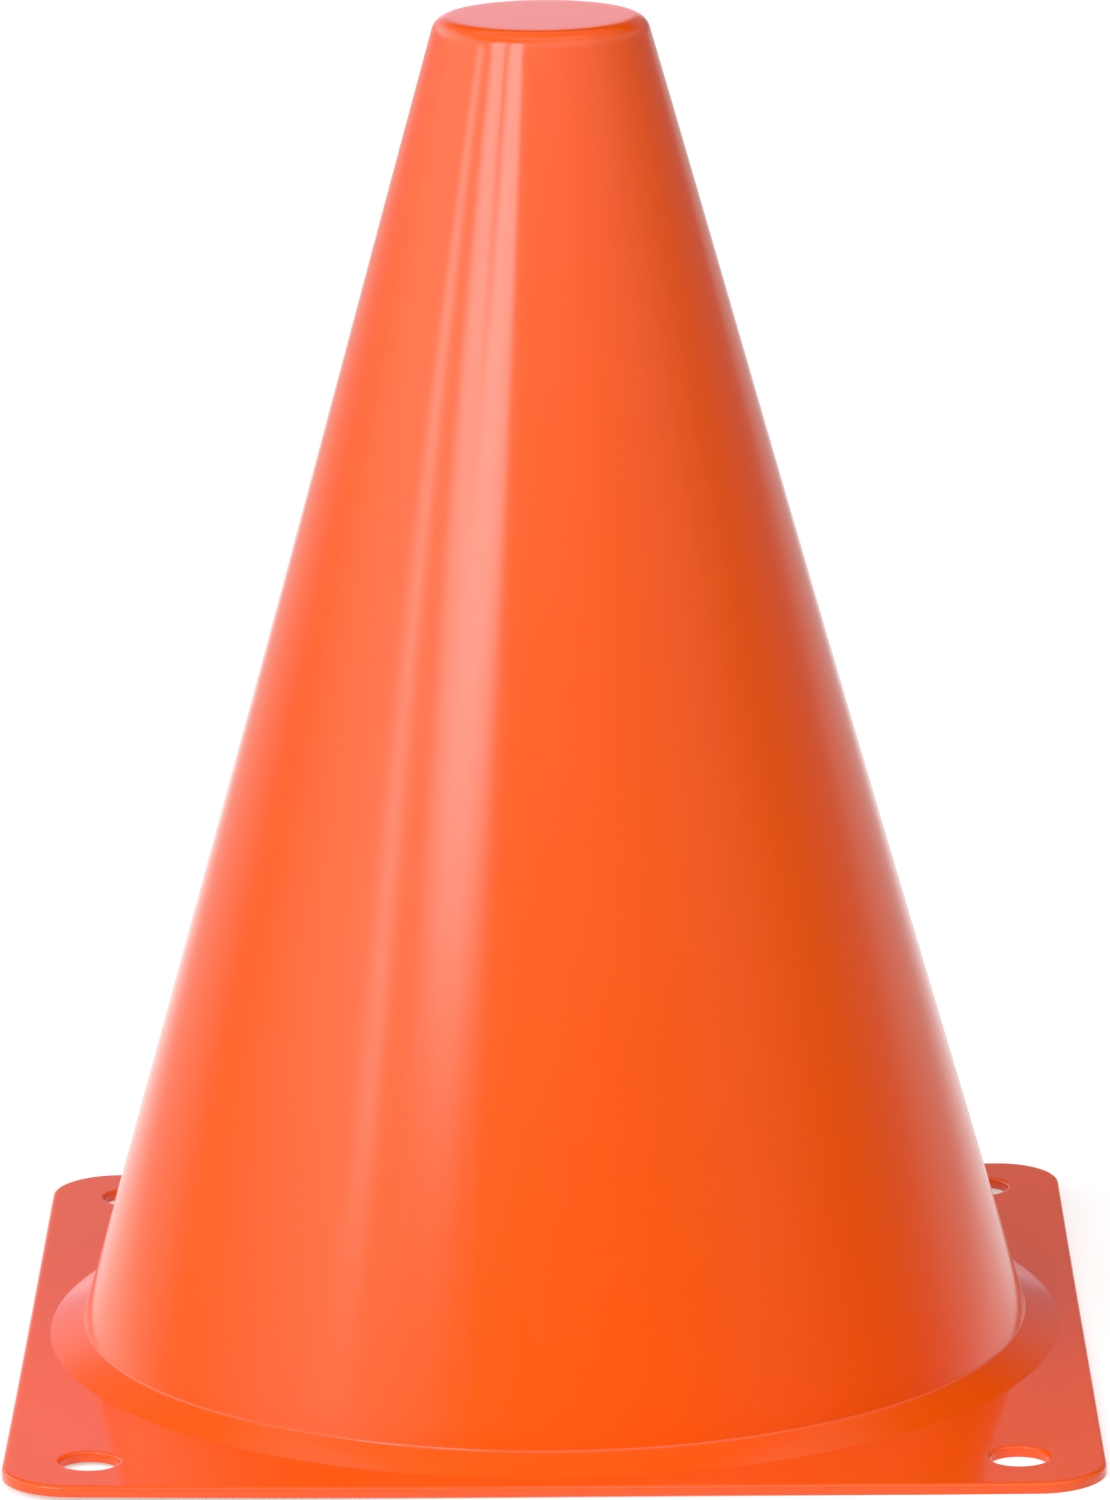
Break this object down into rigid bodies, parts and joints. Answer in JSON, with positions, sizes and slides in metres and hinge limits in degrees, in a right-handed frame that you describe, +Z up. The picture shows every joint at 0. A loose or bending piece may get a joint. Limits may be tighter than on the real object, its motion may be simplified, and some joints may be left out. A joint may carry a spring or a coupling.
{
  "type": "sports marker cone",
  "caption": "Small hollow sports marker cone with a flat closed crown, moulded on a square base plate with corner peg holes, open underneath for stacking.",
  "frame": {"origin": "on the cone's axis at the underside of the base plate, which is the middle of the plate", "axes": "+Z up along the cone's axis, X and Y along the sides of the square plate"},
  "size_m": [0.14, 0.14, 0.177],
  "materials": {
    "orange_plastic": "moulded soft polyethylene, orange all through, smooth with a soft gloss"
  },
  "bodies": {
    "root": {"base_plate": "orange_plastic", "foot_ramp": "orange_plastic", "cone_wall": "orange_plastic", "crown": "orange_plastic"}
  },
  "joints": []
}
